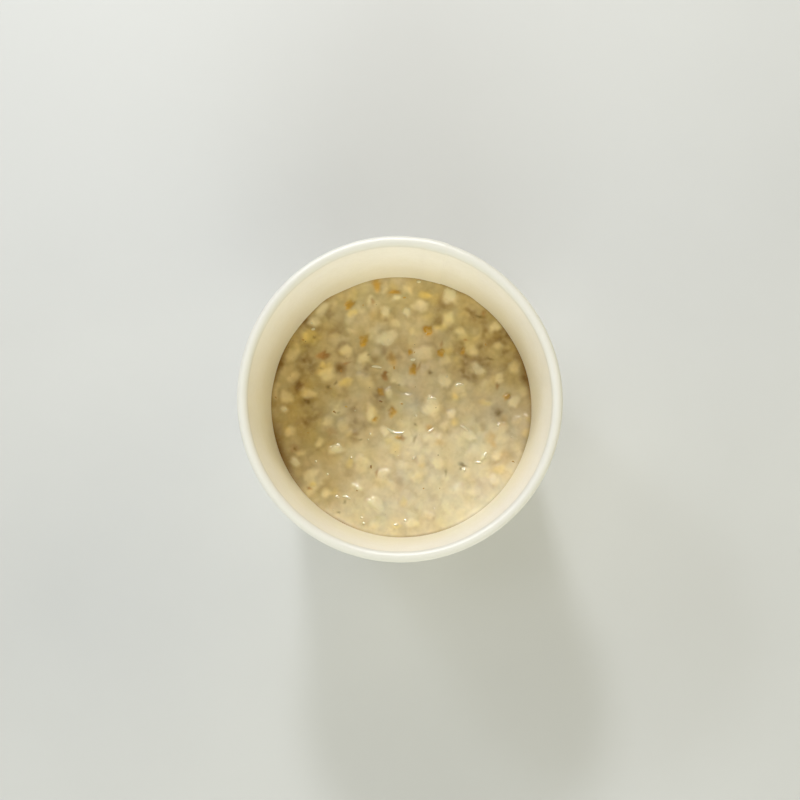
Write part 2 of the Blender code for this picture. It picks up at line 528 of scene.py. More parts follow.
def oats(tone, depth, rise, ragged, *places):
    """Flakes of one tone at places (x, y, length, width, turn in degrees). Sizes are in mm.

    Depth is of the milk over a flake, and rise is how far it lifts the milk.
    """
    shared = {"tone": TONES[tone], "shows": SHOWS[tone], "depth": depth, "rise": rise, "ragged": ragged}
    shared |= SOFT_LOOK if tone in SOFT else HUSK_LOOK
    flakes = []
    for x, y, length, width, turn in places:
        flakes.append({"x": x, "y": y, "length": length, "width": width, "turn": math.radians(turn), **shared})
    return flakes


# The flakes and bits of husk that stand out.
pale_flakes = oats(
    "pale", 0.08, 0.50, 0.09,
    (-4.6, 22.6, 6.4, 5.6, 20), (-21.3, -14.0, 4.8, 3.4, 10), (24.8, 12.3, 5.2, 4.2, 135),
    (-5.2, 31.2, 3.8, 3.6, 90), (-1.4, 35.9, 3.2, 2.2, 0), (15.8, 36.4, 5.2, 4.8, 80), (-8.0, -32.0, 7.0, 3.4, 140),
    (-34.6, -18.0, 4.2, 3.0, 160), (-38.2, -0.8, 2.8, 1.9, 170), (-14.0, -26.4, 3.8, 2.0, 135),
    (27.0, -16.4, 2.0, 1.4, 40), (2.0, 31.0, 3.4, 2.4, 90), (7.0, 17.6, 8.2, 4.4, 0), (6.2, 33.0, 5.6, 4.2, 20),
    (-5.4, -8.0, 3.4, 3.0, 100), (-10.0, -1.6, 5.2, 2.8, 95), (-4.0, 4.2, 3.2, 2.6, 80), (-1.0, 9.2, 5.0, 4.4, 120),
    (14.2, 8.6, 5.0, 4.2, 60), (37.0, 1.8, 4.2, 3.6, 70), (16.4, -2.4, 3.2, 3.0, 90), (-26.0, 32.0, 5.4, 3.8, 45),
    (-28.4, 28.0, 4.2, 3.2, 30), (20.6, -20.5, 1.4, 1.1, 0),
)  # fmt: skip
cream_flakes = oats(
    "cream", 0.18, 0.46, 0.075,
    (-24.0, 10.6, 6.2, 4.2, 5), (-30.2, 4.2, 4.4, 3.4, 170), (-18.0, 18.4, 4.6, 4.0, 60), (-12.4, 16.0, 4.4, 4.2, 90),
    (-35.6, 17.0, 5.2, 4.2, 70), (-35.0, 9.6, 4.6, 3.4, 20), (-37.4, 3.2, 4.6, 4.2, 100), (-36.0, -8.0, 3.8, 3.6, 0),
    (-19.0, -6.0, 5.0, 4.4, 40), (-23.6, -4.6, 4.6, 3.0, 20), (-20.4, -1.0, 4.4, 3.4, 10), (-32.6, -15.0, 4.4, 1.8, 15),
    (-29.6, -22.4, 5.2, 4.6, 60), (-12.8, -19.0, 5.4, 5.2, 90), (-12.0, 8.4, 6.2, 4.6, 150), (-5.3, 38.9, 3.8, 2.6, 85),
    (15.4, 28.4, 4.6, 4.2, 60), (31.2, 26.4, 3.8, 3.2, 20), (31.6, 20.0, 3.6, 2.4, 0), (22.6, 19.0, 5.2, 4.4, 150),
    (14.2, 15.0, 4.4, 3.2, 10), (37.2, 13.0, 4.4, 4.0, 90), (32.0, 9.2, 3.2, 3.0, 80), (18.8, 5.4, 5.6, 4.8, 30),
    (33.0, -7.0, 4.4, 3.2, 20), (22.0, -9.4, 5.0, 3.6, 150), (30.2, -24.0, 3.8, 3.2, 60), (8.6, -35.4, 4.0, 2.6, 10),
    (3.6, -38.0, 4.4, 3.0, 170), (31.2, -15.6, 4.2, 3.4, 60), (-6.4, -22.6, 5.0, 4.0, 30), (12.0, -18.2, 4.4, 3.8, 0),
    (5.4, -23.0, 4.0, 3.4, 90), (-24.5, -28.0, 4.0, 3.0, 60), (6.6, -17.0, 3.2, 3.0, 90), (-26.6, -11.6, 3.4, 2.6, 60),
)  # fmt: skip
straw_flakes = oats(
    "straw", 0.11, 0.25, 0.08,
    (-16.6, -18.2, 4.2, 2.4, 88), (-16.0, 30.8, 3.6, 2.4, 20), (27.2, 1.3, 4.2, 2.2, 170), (17.6, -5.0, 3.2, 2.8, 20),
    (7.0, -19.0, 2.6, 1.8, 10), (0.7, -31.0, 3.6, 2.6, 85), (31.6, -20.4, 4.4, 3.2, 165), (-1.4, -38.7, 2.8, 2.4, 0),
    (7.6, 36.6, 4.6, 2.6, 160), (-18.0, 8.0, 5.0, 3.0, 10), (-28.6, -25.2, 2.0, 1.6, 0), (17.4, 3.4, 3.0, 2.2, 140),
)  # fmt: skip
gold_husks = oats(
    "gold", 0.06, 0.12, 0.10,
    (-16.8, 33.6, 4.2, 2.4, 30), (-1.8, 37.6, 3.6, 1.5, 2), (-12.2, 21.8, 4.2, 3.2, 50), (-6.6, 4.9, 3.2, 2.0, 110),
    (-2.9, -1.8, 3.4, 2.6, 100), (3.8, 12.2, 3.6, 3.0, 80), (8.8, 25.0, 3.6, 3.0, 60), (12.9, 17.6, 3.2, 2.4, 110),
    (34.4, 3.4, 3.0, 1.8, 30), (-8.5, -4.1, 1.8, 1.4, 60), (20.2, 18.2, 2.6, 1.4, 60), (-0.9, -10.0, 1.8, 1.4, 0),
    (3.0, 17.9, 2.2, 1.4, 90),
)  # fmt: skip
rust_husks = oats(
    "rust", 0.05, 0.08, 0.12,
    (-25.6, 16.8, 4.6, 2.8, 25), (-9.3, 34.6, 2.4, 1.2, 120), (-5.4, 9.9, 2.8, 2.4, 80), (-5.0, 11.3, 1.6, 0.8, 10),
    (5.7, 12.8, 2.6, 0.9, 70), (13.2, 20.3, 2.6, 0.8, 80), (-17.8, 14.2, 2.6, 0.8, 20), (-29.8, -26.5, 1.5, 1.0, 150),
    (31.3, 6.6, 2.2, 1.1, 75), (0.4, -10.2, 2.2, 1.7, 80), (27.0, 30.6, 2.0, 1.2, 60), (21.0, 21.8, 1.8, 0.5, 170),
    (-7.9, -21.3, 2.6, 0.9, 85), (35.2, 2.9, 1.0, 0.8, 0),
) + oats("rust", 0.40, 0.10, 0.12, (-22.5, -8.0, 3.2, 2.8, 30), (-34.8, -13.4, 3.4, 2.4, 10))  # fmt: skip
dark_husks = oats(
    "husk", 0.12, 0.05, 0.15,
    (-23.8, 6.4, 1.6, 0.9, 30), (-21.3, 7.6, 1.2, 0.8, 40), (-28.4, 22.7, 1.0, 0.8, 90), (-26.2, 12.5, 0.9, 0.6, 0),
    (-10.7, 17.0, 0.8, 0.6, 0), (-20.5, -2.0, 1.2, 0.8, 30), (-13.2, -10.8, 1.0, 0.6, 0), (25.6, 29.3, 2.0, 1.0, 170),
    (29.0, 15.6, 2.0, 0.6, 160), (31.7, -2.0, 2.2, 1.3, 20), (20.0, -19.0, 2.6, 1.4, 160), (19.3, -20.2, 0.9, 0.8, 0),
    (4.4, -10.5, 2.6, 0.9, 60), (14.5, -21.5, 2.0, 0.8, 90), (-18.3, -31.0, 1.2, 0.9, 50), (-20.3, -34.3, 1.0, 0.7, 0),
    (-34.6, -13.7, 1.1, 0.6, 90), (-0.8, 7.1, 0.9, 0.6, 20), (9.4, 11.0, 1.2, 0.9, 50), (4.6, -5.8, 1.0, 0.6, 150),
)  # fmt: skip
swollen_groat = oats("cream", 0.20, 0.75, 0.03, (10.5, 0.3, 7.2, 7.0, 20)) + oats(
    "pale", 0.10, 0.45, 0.04, (10.3, 0.1, 4.6, 4.2, 60)
)
soft_flakes = pale_flakes + swollen_groat + cream_flakes + straw_flakes
husks = gold_husks + rust_husks + dark_husks

# Dark spots between the flakes, where none lies near the top: the clear milk looks dark there, and painted shade
# darkens it further. x, y and width in mm, strength.
SHADED_HOLLOWS = (
    (-31.0, 14.0, 2.0, 0.8), (-32.0, 17.0, 1.4, 0.5), (-33.2, 7.2, 1.6, 0.75), (-34.8, 5.4, 1.2, 0.7),
    (-30.6, 1.8, 1.5, 0.8), (-28.5, -2.0, 2.2, 0.5), (-31.5, -5.5, 1.6, 0.6), (-39.4, 14.2, 1.3, 1.0),
    (-40.0, 12.5, 1.0, 0.9), (-19.8, 12.6, 1.4, 0.9), (-23.8, 34.4, 1.3, 0.8), (-23.0, 30.0, 1.6, 0.5),
    (-31.3, 28.2, 0.9, 0.9), (-6.4, 28.3, 1.8, 0.5), (-4.0, 28.0, 1.2, 0.5), (-4.0, 17.4, 2.4, 0.55),
    (-8.6, 15.6, 1.2, 0.6), (-8.2, 3.6, 1.3, 0.6), (-6.0, 1.0, 1.4, 0.5), (-15.4, -0.6, 1.3, 0.7),
    (-15.4, -5.0, 1.3, 0.6), (-15.0, -9.8, 1.5, 0.8), (-12.2, -6.4, 0.9, 0.5), (-22.0, 25.5, 2.2, 0.35),
    (-29.0, 21.0, 1.5, 0.4), (-19.0, 4.2, 1.8, 0.35), (-9.0, 12.0, 2.0, 0.5), (-11.0, 11.5, 1.6, 0.4),
    (21.6, 14.9, 1.5, 1.0), (20.6, 10.9, 1.3, 0.9), (23.0, 9.5, 1.6, 0.6), (27.0, 14.4, 1.6, 0.7),
    (26.4, 19.5, 1.5, 0.6), (19.0, 20.0, 1.2, 0.6), (22.2, 31.0, 1.5, 0.7), (25.8, 29.4, 1.2, 0.9),
    (28.0, 24.0, 2.4, 0.5), (33.5, 22.5, 2.2, 0.6), (34.0, 17.5, 1.8, 0.5), (12.0, 27.8, 1.3, 0.6),
    (13.0, 33.0, 1.6, 0.4), (3.8, 30.2, 1.2, 0.35), (17.0, 25.0, 1.3, 0.4), (0.5, 16.8, 1.8, 0.5),
    (9.4, 11.2, 1.0, 0.6), (17.2, 12.0, 1.4, 0.35), (14.6, 6.2, 0.9, 0.5), (40.8, 9.6, 1.3, 0.9),
    (39.0, 17.0, 1.2, 0.9), (24.6, -3.6, 1.6, 0.45), (5.0, 2.0, 1.6, 0.3), (14.9, -8.6, 0.9, 0.5),
    (0.0, -24.0, 1.6, 0.5), (-17.0, -21.4, 1.4, 0.4), (-24.0, -24.0, 2.2, 0.35), (10.0, -28.7, 1.5, 0.4),
    (19.0, -28.0, 1.4, 0.35), (26.6, -7.0, 1.2, 0.35), (8.0, -12.0, 1.0, 0.5), (-25.5, -31.0, 1.6, 0.35),
    (38.0, -16.0, 2.0, 0.3), (31.8, -2.2, 1.4, 0.6),
)  # fmt: skip

# Against the wall, painted shade darkens the porridge in places: angle and spread in degrees, width in mm,
# strength.
WALL_SHADE_EDGES = (
    (200, 16, 1.9, 1.0), (162, 12, 1.2, 0.9), (14, 12, 1.5, 0.9), (352, 12, 1.3, 0.4), (34, 8, 0.6, 0.6),
    (130, 12, 0.5, 0.5), (243, 6, 0.7, 0.5), (285, 22, 0.5, 0.35), (62, 10, 0.6, 0.3),
)  # fmt: skip

CONTACT_SHADE, CONTACT_WIDTH_MM = 0.25, 0.5  # of the thin dark line all round, where it meets the wall

# Where the skin is dull: x and y in mm.
DULL_SPOTS = ((-6.3, -20.6), (-13.6, -24.8), (-12.4, -26.2), (-21.2, -12.6))
DULL_WIDTH_MM = 1.4

# The rest of the flakes lie deeper.
STREWN_FLAKES = 360
STREWN_RADIUS_MM = 43
STREWN_MIX = {"cream": 8, "pale": 5, "straw": 4, "gold": 0.7}
LIFT_FADE_MM = 0.7  # a flake lifts the milk less by a factor of e for each of these that it lies deeper
SIGHT_FADE_MM = 0.65  # and it is seen less by as much for each of these

chance = random.Random(11)
strewn = []
while len(strewn) < STREWN_FLAKES:
    x, y = (chance.uniform(-STREWN_RADIUS_MM, STREWN_RADIUS_MM) for _ in "xy")
    depth, length = 0.16 + 1.3 * chance.random() ** 0.8, chance.uniform(2.6, 5.8)
    tone = chance.choices(list(STREWN_MIX), list(STREWN_MIX.values()))[0]
    place = (x, y, length, length * chance.uniform(0.6, 0.95), chance.uniform(0, 180))
    if math.hypot(x, y) < STREWN_RADIUS_MM:
        strewn += oats(tone, depth, 0.50 * math.exp(-depth / LIFT_FADE_MM), chance.uniform(0.06, 0.15), place)

height_mm = 0.34 * lumps(1, 20) + 0.16 * lumps(2, 8)
# The milk's tone follows this field, so it holds painted light and shade as well as the milk's own tone.
tint = TONES["thin milk"] + milkiness_and_light[..., None] * (TONES["thick milk"] - TONES["thin milk"])
wetness = np.ones_like(height_mm)
patchy = 0.72 + 0.28 * smooth(lumps(12, 3.2), -1.2, 0.8)  # where a film of milk hides a part of a flake
crevices = 0.2 + 0.9 * smooth(lumps(13, 1.9), -0.7, 0.6)  # and where bits break up a hollow


def darken(colour, strength):
    """Moves a colour towards that of deep milk, the tone that painted shade takes here."""
    return colour + (TONES["deep"] - colour) * np.clip(strength, 0, 1)[..., None]


def tint_blurred(colour, width):
    """A colour field softened over this many mm."""
    return np.stack([blurred(colour[..., i], width) for i in range(3)], 2)


OUTLINE_WAVES = (2, 3, 4, 5, 7)
DOMED = (0.75, 0.35)  # share of a flake's rise all over it, and how much more in its middle
# Painted shade: a dark ring just outside a flake's edge, in the gap to its neighbours.
GAP_AT, GAP_WIDTH, GAP_SHADE = 1.20, 0.25, 0.10  # the dark gap just outside a flake's edge


def lay(flake):
    """Presses a flake up through the milk: shape into the height, tone and painted edge shade into the colour."""
    reach = 0.75 * flake["length"] + 1.0
    columns = slice(*np.searchsorted(tray_x[0], (flake["x"] - reach, flake["x"] + reach)))
    rows = slice(*np.searchsorted(tray_x[0], (flake["y"] - reach, flake["y"] + reach)))
    aside, ahead = tray_x[rows, columns] - flake["x"], tray_y[rows, columns] - flake["y"]
    cos, sin = math.cos(flake["turn"]), math.sin(flake["turn"])
    along = (aside * cos + ahead * sin) / (flake["length"] / 2)
    across = (ahead * cos - aside * sin) / (flake["width"] / 2)
    around = np.arctan2(across, along)
    outline = 0
    for waves in OUTLINE_WAVES:
        outline = outline + flake["ragged"] * np.cos(waves * around + chance.uniform(0, math.tau)) / (waves / 3)
    out = np.hypot(along, across) / (1.0 + outline)  # 0 in the middle and 1 on the outline
    softness = min(0.9, 0.18 + (0.40 + 0.75 * flake["depth"]) / flake["width"])
    cover = smooth(out, 1 + softness, 1 - softness)
    dome = np.sqrt(np.clip(1 - out * out, 0.0, 1.0))
    near = math.exp(-flake["depth"] / SIGHT_FADE_MM)

    here = height_mm[rows, columns]
    middle_height = float((here * cover).sum() / max(cover.sum(), 1e-6))
    lean_x, lean_y = chance.gauss(0, 0.05), chance.gauss(0, 0.05)
    top = middle_height + flake["rise"] * (DOMED[0] + DOMED[1] * dome) + lean_x * aside + lean_y * ahead
    height_mm[rows, columns] = here + (top - here) * (cover * (0.35 + 0.5 * near))

    veil = 1 - flake["veil"] * milkiness_and_light[rows, columns]
    gap = np.exp(-(((out - GAP_AT) / GAP_WIDTH) ** 2)) * near * GAP_SHADE * veil
    shade = darken(tint[rows, columns], gap)
    drift = 1 + 0.06 * chance.gauss(0, 0.5) + 0.08 * (dome - 0.5) - flake["drift"] * along
    seen = cover * (0.6 + 0.4 * dome) * near * veil * flake["shows"] * patchy[rows, columns]
    tint[rows, columns] = shade + (flake["tone"] * drift[..., None] - shade) * np.clip(seen, 0, 1)[..., None]
    wetness[rows, columns] *= 1 - 0.2 * cover * near


def lay_all(flakes):
    """Lays flakes from the deepest up."""
    for flake in sorted(flakes, key=lambda flake: -flake["depth"]):
        lay(flake)


lay_all(strewn)
# Painted shade in narrow furrows between the lumps, stronger where the milk is thin.
furrow_shade = smooth(abs(lumps(15, 5.5)), 0.40, 0.0) * smooth(lumps(16, 7), -0.8, 0.8)
tint = darken(tint, 0.30 * furrow_shade * (1.15 - milkiness_and_light))
# Painted shade in the hollows, broken up where bits lie, and stronger where the milk is thin.
for x, y, width, strength in SHADED_HOLLOWS:
    tint = darken(tint, pool(x, y, width) * strength * (1.25 - 0.8 * milkiness_and_light) * crevices)
lay_all(soft_flakes)
tint = tint_blurred(tint, 0.30)
for x, y in DULL_SPOTS:
    wetness *= 1 - 0.85 * pool(x, y, DULL_WIDTH_MM)
lay_all(husks)

# The milk draws a skin over it all. Painted light makes the lumps' tops paler, and painted shade darkens the milk
# between them.
height_mm = 0.45 * blurred(height_mm, 0.22) + 0.55 * blurred(height_mm, 0.50) + 0.02 * lumps(6, 3.0)
relief_light = height_mm - blurred(height_mm, 1.6)
relief_light = (np.clip(relief_light / relief_light.std(), -2.5, 2.5) * (1.15 - 0.6 * milkiness_and_light))[..., None]
# Painted light and shade: the lumps' tops paler and less yellow, the milk between them darker.
RELIEF_LIGHT_TONE = np.array([0.065, 0.075, 0.095])  # the lumps' tops are paler, and less yellow
WARM_TONE, PINK_TONE = np.array([0.012, 0.0, -0.03]), np.array([0.005, -0.005, 0.005])
warmth = lumps(14, 6)[..., None] * WARM_TONE + lumps(17, 9)[..., None] * PINK_TONE
mottle = 0.02 * lumps(9, 4) + 0.018 * lumps(18, 1.2)
tint = tint_blurred(tint, 0.11)
tint = tint * (1 + mottle[..., None] + relief_light * RELIEF_LIGHT_TONE + warmth)


def tray_value(field, x, y):
    """The field's value at places in metres."""
    column = np.clip((x * 1000 + TRAY_MM) / PITCH_MM, 0, TRAY_CELLS - 1.001)
    row = np.clip((y * 1000 + TRAY_MM) / PITCH_MM, 0, TRAY_CELLS - 1.001)
    c, r = column.astype(int), row.astype(int)
    c_part, r_part = column - c, row - r
    if field.ndim == 3:
        c_part, r_part = c_part[:, None], r_part[:, None]
    lower = field[r, c] * (1 - c_part) + field[r, c + 1] * c_part
    upper = field[r + 1, c] * (1 - c_part) + field[r + 1, c + 1] * c_part
    return lower * (1 - r_part) + upper * r_part


def wall_inside(height, around):
    """Radius of the wall's food side, with the wall's own wander."""
    skin = WALL_START.x + (height - WALL_START.y) * math.tan(LEAN) - BOARD / 2 / math.cos(LEAN)
    wander = np.cos(2 * (around - OVAL_WAY)) + LOBES * np.cos(3 * around + LOBES_TURN)
    return skin + OVAL * height / POT_HEIGHT * wander


BRIM_MM, LOWEST_BRIM_MM = 0.55, 0.25
BRIM_WAVES = ((3, 1, 0.20), (7, 2, 0.20), (13, 4, 0.15))  # waves round the pot, turn, rise in mm
BRIM_BUMPS = ((2.18, 0.10, 1.6), (1.02, 0.07, 1.3), (3.05, 0.16, 1.0))  # angle, spread, rise in mm
FLAT_BRIM = (4.75, 1.0, 0.75)  # angle, spread, share of the rise that is missing


def brim_rise_mm(around):
    """How far the porridge climbs the wall, which is uneven where a spoon or a flake left it higher."""
    rise = BRIM_MM
    for waves, turn, size in BRIM_WAVES:
        rise = rise + size * np.sin(waves * around + turn)
    for at, spread, extra in BRIM_BUMPS:
        rise = rise + extra * np.exp(-(((around - at) / spread) ** 2))
    at, spread, missing = FLAT_BRIM
    return np.clip(rise, LOWEST_BRIM_MM, None) * (1 - missing * np.exp(-(((around - at) / spread) ** 2)))


def brim_radius(around):
    """Radius at which the porridge's top meets the wall."""
    return wall_inside((LEVEL_MM + brim_rise_mm(around)) / 1000, around)


def surface_height(x, y):
    """Height of the porridge at places in metres. It clings to the wall."""
    around = np.arctan2(y, x) % math.tau
    cling = np.exp(-np.clip(brim_radius(around) - np.hypot(x, y), 0, None) / CLING)
    lumps_mm = tray_value(height_mm, x, y) * (1 - (1 - CLINGING_LUMPS) * cling)
    return (LEVEL_MM + lumps_mm + brim_rise_mm(around) * cling) / 1000


def milk_colour(x, y):
    """Colour of the porridge at places in metres, with painted shade along the wall."""
    around = np.arctan2(y, x) % math.tau
    from_wall_mm = np.clip((brim_radius(around) - np.hypot(x, y)) * 1000, 0, None)
    contact = CONTACT_SHADE * np.exp(-((from_wall_mm / CONTACT_WIDTH_MM) ** 2))
    colour = darken(tray_value(tint, x, y), contact)
    for angle, spread, width, strength in WALL_SHADE_EDGES:
        off = (np.degrees(around) - angle + 180) % 360 - 180
        colour = darken(colour, strength * np.exp(-((off / spread) ** 2) - (from_wall_mm / width) ** 2))
    return colour


def porridge_mesh():
    """A disc of triangles drawn as rings, with side and bottom, whose top follows the worked-out height."""
    ring_of = np.concatenate([np.full(max(6 * k, 1), k) for k in range(RINGS + 1)])
    step_of = np.concatenate([np.arange(max(6 * k, 1)) for k in range(RINGS + 1)])
    around = math.tau * step_of / np.maximum(6 * ring_of, 1)
    radius = (brim_radius(around) + INTO_WALL) * (ring_of / RINGS) ** RING_SPREAD
    x, y = radius * np.cos(around), radius * np.sin(around)
    points = np.stack([x, y, surface_height(x, y)], 1)

    faces = []
    start = [0] + [1 + 3 * k * (k - 1) for k in range(1, RINGS + 1)]
    for k in range(1, RINGS + 1):
        for side in range(6):
            for i in range(k):
                a = start[k] + side * k + i
                b = start[k] + (side * k + i + 1) % (6 * k)
                inner = start[k - 1] + (side * (k - 1) + i) % max(6 * (k - 1), 1)
                faces.append((inner, a, b))
                if i < k - 1:
                    faces.append((inner, b, start[k - 1] + (side * (k - 1) + i + 1) % (6 * (k - 1))))
    brim, count = start[RINGS], 6 * RINGS
    edge = math.tau * np.arange(count) / count
    low_radius = wall_inside(FLOOR, edge) - FLOOR_GAP
    low = np.stack([low_radius * np.cos(edge), low_radius * np.sin(edge), np.full(count, FLOOR)], 1)
    foot = len(points)
    points = np.concatenate([points, low, [[0.0, 0.0, FLOOR]]])
    for i in range(count):
        after = (i + 1) % count
        faces.append((brim + i, foot + i, foot + after))
        faces.append((brim + i, foot + after, brim + after))
        faces.append((foot + after, foot + i, foot + count))
    mesh = bpy.data.meshes.new("porridge_in_pot")
    mesh.from_pydata(points.tolist(), [], faces)
    x, y, z = points.T
    colour = np.ones((len(points), 4))
    colour[:, :3] = np.clip(milk_colour(x, y), DARKEST, PALEST)
    mesh.color_attributes.new("milk_tint", "FLOAT_COLOR", "POINT").data.foreach_set("color", colour.ravel())
    from_wall_mm = (wall_inside(z, np.arctan2(y, x)) - np.hypot(x, y)) * 1000
    store(mesh, "wetness", "FLOAT", tray_value(wetness, x, y) * smooth(from_wall_mm, *DRY_EDGE_MM))
    store(mesh, "thinness", "FLOAT", 1 - tray_value(milkiness_and_light, x, y))
    return mesh


GRAIN_TONE, CURD_TONE = (0.82, 0.73, 0.45), (0.43, 0.28, 0.10)
OAT_DEPTH = {"Subsurface_Weight": 0.3, "Subsurface_Radius": (1.0, 0.62, 0.30), "Subsurface_Scale": 0.0012}
WET_COAT = {"Coat_Roughness": 0.06, "Coat_IOR": 1.36}


def milk_finish():
    """Milky, wet and slightly see-through, with a fine starchy grain."""
    f = Finish("milky oat porridge", **OAT_DEPTH, **WET_COAT, Specular_IOR_Level=0.15)
    tint_here = f.attribute("milk_tint", "Color")
    grain = f.noise(f.place, 0.0009, 3.0, 0.6)
    curd = f.noise(f.place, 0.0028, 3.0, 0.55, 0.5)
    colour = f.mix(f.ramp(grain, 0.45, 0.75) * 0.08, tint_here, GRAIN_TONE)
    colour = f.mix(f.ramp(curd, 0.5, 0.3) * 0.14, colour, CURD_TONE)
    wet = f.attribute("wetness")
    f.varies(Base_Color=colour, Roughness=0.50 - wet * 0.18 + (grain - 0.5) * 0.15, Coat_Weight=wet * 0.45)
    f.relief(grain * 0.3 + curd * 0.7, 0.00005)
    return f.material


porridge = placed("porridge_in_pot", porridge_mesh())
porridge.data.materials.append(milk_finish())
face_outwards(porridge, PORRIDGE_CREASE)
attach(porridge, "root")
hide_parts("porridge")


# ---------------------------------------------------------------------------------------------------------------------
# Flakes on top. Rolled oats swollen to soft cushions, with ragged edges and a crease along the middle. They float half
# out of the milk, which runs over parts of them.
# ---------------------------------------------------------------------------------------------------------------------

FLAKE_SEGMENTS = 14
BLEND_HEIGHT = 0.00015  # a flake shows its own colour from this far above the milk
FLAKE_RINGS = ((0.45, 0.46), (0.80, 0.30), (0.98, 0.05), (0.80, -0.30))  # share of the radius, and height
FLAKE_SHAPES = 5
FOLD_WIDTH = 0.12  # of the crease along a flake, as a share of the flake's width
LAID_CREASE = 70  # degrees
FILM_TONE = (0.80, 0.69, 0.38)
# Which flakes, their size beside the ones pressed into the milk, thickness and sink in mm, and how much tone they show.
TOP_FLAKES = ((pale_flakes[:12], 0.98, 0.7, 0.14, 0.25), (gold_husks, 0.9, 0.4, 0.05, 0.7))


def closed_rings(name, seed, rings, segments, top, bottom, ragged, crease=0.0):
    """A small closed cushion, 1 long, 1 wide and 1 thick, from rings of (share of the radius, height) between its top
    and its bottom."""
    draw = random.Random(seed)
    lobes = [(waves, draw.uniform(0, math.tau), draw.uniform(0.4, 1.0) * ragged) for waves in (1, 2, 3, 4, 5)]
    points = [(0.0, 0.0, top)]
    for share, height in rings:
        for i in range(segments):
            angle = math.tau * i / segments
            reach = 0.5 * share * (1 + sum(size * math.cos(waves * angle + turn) for waves, turn, size in lobes))
            x, y = reach * math.cos(angle), reach * math.sin(angle)
            fold = crease * math.exp(-((y / FOLD_WIDTH) ** 2)) if height > 0 else 0.0
            points.append((x, y, height * draw.uniform(0.85, 1.15) - fold))
    points.append((0.0, 0.0, bottom))
    last = len(points) - 1
    faces = []
    for i in range(segments):
        after = (i + 1) % segments
        faces.append((0, 1 + i, 1 + after))
        for ring in range(len(rings) - 1):
            near, far = 1 + ring * segments, 1 + (ring + 1) * segments
            faces.append((near + i, far + i, far + after, near + after))
        faces.append((last, last - segments + after, last - segments + i))
    mesh = bpy.data.meshes.new(name)
    mesh.from_pydata(points, [], faces)
    return mesh


def shape_box(name, meshes):
    """A collection of shapes for Geometry Nodes to choose from."""
    box = bpy.data.collections.new(name)
    for mesh in meshes:
        box.objects.link(bpy.data.objects.new(mesh.name, mesh))
    return box


def emptied(box):
    """Removes a collection of shapes once they have been laid."""
    for shape in list(box.objects):
        bpy.data.objects.remove(shape)
    bpy.data.collections.remove(box)


def shapes_on(group, points, shapes, seed, rotation, size):
    """Puts on each point a shape that is picked at random."""
    inputs = {"Collection": shapes, "Separate Children": True, "Reset Children": True}
    inputs = {
        "Points": points,
        "Instance": group.add("GeometryNodeCollectionInfo", {}, inputs),
        "Pick Instance": True,
        "Instance Index": group.add("FunctionNodeRandomValue", {"data_type": "INT"}, {4: 0, 5: 99, "Seed": seed}, 2),
        "Rotation": rotation,
        "Scale": size,
    }
    return group.add("GeometryNodeInstanceOnPoints", {}, inputs)


def laid_tree():
    """Geometry Nodes that lay a shape on each point, with that point's turn and size, and keep its tone."""
    g = Group("laid flakes", Places="Geometry", Shapes="Collection", Seed="Int", Finish="Material")
    places, shapes, seed, finish = g.given
    points = g.add("GeometryNodeMeshToPoints", {}, {"Mesh": places})
    turn, size = (g.on_points(name, "FLOAT_VECTOR") for name in ("turn", "size"))
    return g.ended(shapes_on(g, points, shapes, seed, turn, size), finish)


def laid(name, pieces, shapes, finish, seed, draw, tip):
    """Lays a shape for each of the pieces (x, y, length, width, thick, turn, sink, tone), in mm, as one object.

    Each is bent to the porridge's surface. Tip is how far they lie out of level, in radians.
    """
    places, turns, sizes, tones = [], [], [], []
    for x, y, length, width, thick, turn, sink, tone in pieces:
        places.append((x / 1000, y / 1000, -sink / 1000))
        turns.append((draw.gauss(0, tip), draw.gauss(0, tip), turn))
        sizes.append((length / 1000, width / 1000, thick / 1000))
        tones.append(tone)
    mesh = bpy.data.meshes.new(name + "_places")
    mesh.from_pydata(places, [], [])
    store(mesh, "turn", "FLOAT_VECTOR", turns)
    store(mesh, "size", "FLOAT_VECTOR", sizes)
    store(mesh, "piece_tone", "FLOAT_COLOR", tones)
    box = shape_box(name + " shapes", shapes)
    made = made_by(laying, mesh, name, {"Shapes": box, "Seed": seed, "Finish": finish})
    emptied(box)
    drape(made)
    face_outwards(made, LAID_CREASE)
    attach(made, "root")


def drape(made):
    """Bends laid pieces to the porridge's surface, and colours each corner: the milk's own colour where it meets the
    milk, the piece's tone where it is clear. The tone's fourth number says how much of it shows.
    """
    mesh = made.data
    points = np.empty((len(mesh.vertices), 3))
    mesh.vertices.foreach_get("co", points.ravel())
    tone = np.empty((len(points), 4))
    mesh.attributes["piece_tone"].data.foreach_get("color", tone.ravel())
    x, y = points[:, 0], points[:, 1]
    share = tone[:, 3:] * smooth(points[:, 2:], 0.0, BLEND_HEIGHT)
    milk = milk_colour(x, y)
    tone[:, :3] = milk + (tone[:, :3] - milk) * share
    tone[:, 3] = 1.0
    store(mesh, "piece_tint", "FLOAT_COLOR", tone)
    points[:, 2] += surface_height(x, y)
    mesh.vertices.foreach_set("co", points.ravel())
    mesh.update()


def flake_finish():
    """Soft oat, coloured by each flake's own tint, with a film of milk over parts of it."""
    f = Finish("swollen oat flake", **OAT_DEPTH, **WET_COAT, Specular_IOR_Level=0.4)
    film = f.noise(f.place, 0.0022, 2.0, 0.5, 0.4)
    starch = f.noise(f.place, 0.0005, 3.0, 0.6)
    tint = f.attribute("piece_tint", "Color")
    colour = f.mix(f.ramp(film, 0.45, 0.65) * 0.18, tint, FILM_TONE)
    f.varies(Base_Color=colour, Roughness=0.38 + (starch - 0.5) * 0.2, Coat_Weight=0.2 + f.ramp(film, 0.4, 0.6) * 0.25)
    f.relief(starch, 0.00004)
    return f.material


